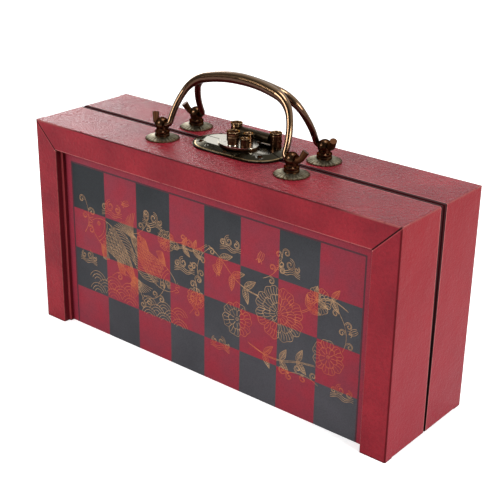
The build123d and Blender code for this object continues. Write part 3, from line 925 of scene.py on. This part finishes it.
def petal(x, z, start, end, inner, outer, lobes, veins):
    outline = []
    for i in range(13):
        t = i / 12
        a = start + (end - start) * (0.5 - 0.5 * cos(pi * t))
        swell = sin(pi * t) ** 0.35
        r = inner + (outer - inner) * swell * (1 + 0.07 * cos(2 * pi * lobes * t))
        outline.append((x + r * cos(a), z + r * sin(a)))
    strokes = [outline]
    for i in range(veins):
        t = (i + 1) / (veins + 1)
        a = start + (end - start) * t
        r0, r1 = inner * 1.08, inner + (outer - inner) * (0.72 + 0.16 * sin(pi * t))
        middle = a + 0.04 * (end - start)
        points = [(x + r * cos(b), z + r * sin(b)) for r, b in ((r0, a), ((r0 + r1) / 2, middle), (r1, a))]
        strokes.append(points)
    return strokes


def peony(x, z, radius, turn=0.0):
    strokes = [spiral(x, z, 0.13 * radius, 0, 1.5, 14)]
    rings = ((0.14, 0.4, 5, 2), (0.34, 0.7, 7, 3), (0.6, 1.0, 8, 5))
    if radius < 15:
        rings = ((0.2, 0.6, 5, 1), (0.52, 1.0, 6, 3))
    for layer, (inner, outer, count, veins) in enumerate(rings):
        for i in range(count):
            start = turn + 2 * pi * (i + 0.5 * (layer % 2)) / count
            end = start + 2 * pi / count * 1.04
            strokes += petal(x, z, start, end, inner * radius, outer * radius, 3, veins)
    return strokes


def bud(x, z, angle, size):
    strokes = []
    for spread in (-0.5, -0.18, 0.18, 0.5):
        tip = (x + size * cos(angle + 0.35 * spread), z + size * sin(angle + 0.35 * spread))
        middle = (x + 0.55 * size * cos(angle + spread), z + 0.55 * size * sin(angle + spread))
        strokes.append(smoothLine([(x, z), middle, tip]))
    strokes.append(arc(x, z, 0.3 * size, angle * 180 / pi - 80, angle * 180 / pi + 80, 8))
    return strokes


def cloud(x, z, size, side=1):
    strokes = []
    for shrink in (1, 0.7):
        strokes.append(spiral(x, z, size * shrink, 90, 1.4 * side))
        strokes.append(spiral(x + side * size * 1.5, z - size * 0.25, size * 0.75 * shrink, 100, -1.3 * side))
        strokes.append(spiral(x - side * size * 1.2, z - size * 0.45, size * 0.6 * shrink, 60, 1.3 * side))
    for drop in (0.9, 1.2, 1.5):
        ripple = [(0.6 * i - 1.8, drop + 0.22 * sin(1.5 * i + drop)) for i in range(8)]
        strokes.append(smoothLine([(x + side * size * u, z - size * v) for u, v in ripple]))
    return strokes


def leaf(x, z, angle, length, width):
    ux, uz = cos(angle), sin(angle)
    strokes = [[(x, z), (x + ux * length, z + uz * length)]]
    for side in (-1, 1):
        edge = []
        for i in range(9):
            u = i / 8
            reach = side * width * 0.5 * sin(pi * u**0.75)
            edge.append((x + ux * length * u - uz * reach, z + uz * length * u + ux * reach))
        strokes.append(edge)
        for i in range(1, 7):
            u = i / 8
            reach = width * 0.42 * sin(pi * u**0.75)
            sx, sz = x + ux * length * u, z + uz * length * u
            tip = (sx + ux * reach * 0.9 - side * uz * reach, sz + uz * reach * 0.9 + side * ux * reach)
            strokes.append([(sx, sz), tip])
    return strokes


def spray(points, size):
    line = smoothLine(points)
    strokes = [line, [(x + 0.9, z - 0.7) for x, z in line]]
    for i in range(1, len(points) - 1):
        (x0, z0), (x1, z1) = points[i - 1], points[i + 1]
        a = atan2(z1 - z0, x1 - x0)
        for side in (-1, 1):
            strokes += leaf(*points[i], a + side * 0.95, size, size * 0.42)
    return strokes


# A carp lies on a bent spine, along which u runs from the mouth to the tail; scales are rows of
# small arcs, fins and tail are fans of rays
fish = {"widest": 0.3, "taper": 0.52, "thinner": 0.74, "tail": 0.84, "scale": 2.9, "finRays": 10}


def carp(x, z, length, angle, bend, girth):
    radius = length / bend

    def at(u, v, out=0.0):
        a = angle + bend * u
        if u < fish["widest"]:
            full = (1 - (1 - max(u, 0) / fish["widest"]) ** 2) ** 0.5
        else:
            full = 1 - fish["thinner"] * ((u - fish["widest"]) / fish["taper"]) ** 1.25
        w = v * girth * max(full, 0.2) + out
        return (
            x + radius * (sin(a) - sin(angle)) - w * sin(a),
            z - radius * (cos(a) - cos(angle)) + w * cos(a),
        )

    strokes = [[at(i / 20 * fish["tail"], side) for i in range(21)] for side in (-1, 1)]
    acrossHead = [i / 5 - 1 for i in range(11)]
    strokes.append([at(0.19 + 0.05 * (1 - v * v), v) for v in acrossHead])
    strokes.append([at(0.16 + 0.04 * (1 - v * v), v * 0.8) for v in acrossHead])
    for size in (1.5, 0.8):
        eye = at(0.1, 0.42)
        strokes.append(arc(*eye, size, 0, 360, 10))
    for side in (-1, 1):
        barbel = [at(0.01, 0.2 * side), at(-0.05, 0.9 * side), at(0.0, 1.2 * side, 2 * side)]
        strokes.append(smoothLine(barbel))
    rows = int(0.62 * length / fish["scale"])
    for i in range(rows):
        u = 0.25 + 0.6 * i / rows
        lanes = (5 if i % 2 else 6) if u < 0.6 else (3 if i % 2 else 4)
        for lane in range(lanes):
            v0 = -0.96 + 1.92 * lane / lanes
            v1 = v0 + 1.92 / lanes
            bulge = 0.62 / rows * 1.25
            strokes.append([at(u + bulge * sin(pi * k / 6), v0 + (v1 - v0) * k / 6) for k in range(7)])
            strokes.append([at(u + 0.2 * bulge, (v0 + v1) / 2), at(u + 0.75 * bulge, (v0 + v1) / 2)])
    for k in range(15):
        spread = (k - 7) / 7
        root = at(fish["tail"], 0.7 * spread)
        a = angle + bend * fish["tail"] + 0.62 * spread
        reach = length * (0.2 + 0.1 * abs(spread))
        bent = a + 0.25 * spread
        strokes.append([
            root,
            (root[0] + 0.5 * reach * cos(a), root[1] + 0.5 * reach * sin(a)),
            (root[0] + reach * cos((a + bent) / 2), root[1] + reach * sin((a + bent) / 2)),
        ])
    for first, last, side, reach in ((0.3, 0.62, 1, 0.7), (0.24, 0.36, -1, 0.85), (0.56, 0.68, -1, 0.6)):
        tips = []
        for k in range(fish["finRays"]):
            t = k / (fish["finRays"] - 1)
            u = first + (last - first) * t
            rise = girth * reach * (0.55 + 0.45 * sin(pi * (0.25 + 0.7 * t)))
            tips.append(at(u + 0.12, side, side * rise))
            strokes.append([at(u, side), at(u + 0.05, side, 0.5 * side * rise), tips[-1]])
        strokes.append(smoothLine(tips))
    return strokes


def waves(x, z, radius, wide, high):
    strokes = []
    for row in range(high):
        for column in range(wide - row % 2):
            cx = x + radius * (column + 0.5 * (row % 2)) * 1.9
            cz = z + radius * 0.55 * row
            for ring in (1, 0.72, 0.44):
                strokes.append(arc(cx, cz, radius * ring, 20, 160, 8))
    return strokes


def boardArt():
    strokes = carp(-112, 90, 64, -0.3, -0.85, 10.5) + carp(-27, 62, 62, 2.9, -0.8, 10)
    strokes += waves(-108, 32, 9, 3, 3) + waves(-54, 30, 8, 3, 3)
    strokes += vine(-44, 100, -0.2, 30, 5.5) + vine(-60, 46, 0.2, 30, 5.5, 1.0) + bud(-80, 112, 0.4, 8)
    strokes += peony(-36, 96, 8) + peony(-8, 60, 8, 0.4)
    strokes += spray([(-30, 92), (-20, 96), (-10, 96), (2, 104)], 9)
    strokes += cloud(-92, 108, 5) + cloud(-48, 110, 4.6, -1) + cloud(-20, 84, 4.6) + cloud(-116, 62, 4.2, -1)
    strokes += vine(-120, 80, 1.2, 26, 6.5) + vine(-92, 52, 0.3, 34, 6, -1.2) + vine(-14, 46, 1.1, 30, 6)
    strokes += vine(-70, 92, 0.5, 24, 5.5) + vine(-4, 74, 1.7, 28, 5.5, -0.8)
    strokes += peony(66, 72, 20) + peony(30, 56, 13, 0.3) + peony(107, 54, 12.5, 0.6) + peony(98, 92, 9.5)
    strokes += bud(14, 84, 2.2, 9) + bud(48, 104, 1.2, 9) + bud(122, 76, 0.6, 8)
    strokes += spray([(4, 104), (14, 98), (25, 88), (36, 82), (48, 80)], 12)
    strokes += spray([(40, 42), (54, 38), (68, 38), (82, 42), (96, 44)], 11)
    strokes += spray([(84, 80), (90, 84), (96, 92), (108, 96), (120, 92)], 10)
    strokes += cloud(22, 112, 4.4) + cloud(74, 110, 4.6, -1) + cloud(118, 34, 4.4) + cloud(16, 34, 4.2, -1)
    strokes += vine(52, 94, 0.7, 30, 5.5) + vine(100, 30, 2.9, 30, 5.5) + vine(118, 62, 1.4, 26, 5.5)
    return strokes


ink = {
    "gold": (rgb(142, 110, 84), rgb(192, 154, 116)),
    "orange": (rgb(176, 74, 60), rgb(198, 118, 76)),
}


def goldPrint(name, dark):
    finish = Finish(name, Roughness=0.5, Specular_IOR_Level=0.1)
    column = (finish.x / board["square"]).floored()
    row = (finish.z / board["square"]).floored().least(3)
    odd = (column + row) % 2
    isDark = odd if dark else 1 - odd
    worn = finish.place.noise(7, 4, 0.7)
    gold, orange = (worn.contrast(0.35, 0.65).mix(*ink[tone]) for tone in ("gold", "orange"))
    finish.paint("Base Color", isDark.mix(orange, gold))
    finish.paint("Roughness", worn * 0.3 + 0.35)
    return finish.material


def addArt(tray, side, dark):
    data = bpy.data.curves.new("strokes", "CURVE")
    data.dimensions = "3D"
    data.bevel_depth = art["lineRadius"]
    data.bevel_resolution = 0
    panel = case["depth"] - case["frameDepth"]
    for points in boardArt():
        line = data.splines.new("POLY")
        line.points.add(len(points) - 1)
        for point, (x, z) in zip(line.points, points):
            point.co = (side * x, 0, z, 1)
    drawn = bpy.data.objects.new("strokes", data)
    mesh = bpy.data.meshes.new_from_object(drawn)
    bpy.data.objects.remove(drawn)
    shape = bmesh.new()
    shape.from_mesh(mesh)
    for vert in shape.verts:
        vert.co.y = -side * (panel + vert.co.y * art["sunk"])
    bmesh.ops.recalc_face_normals(shape, faces=shape.faces)
    addPiece(f"{tray}BoardArt", shape, goldPrint(f"{tray}Gold", dark), f"{tray}_tray")


print("board art")
addArt("front", 1, True)
addArt("rear", -1, False)

print("finished")
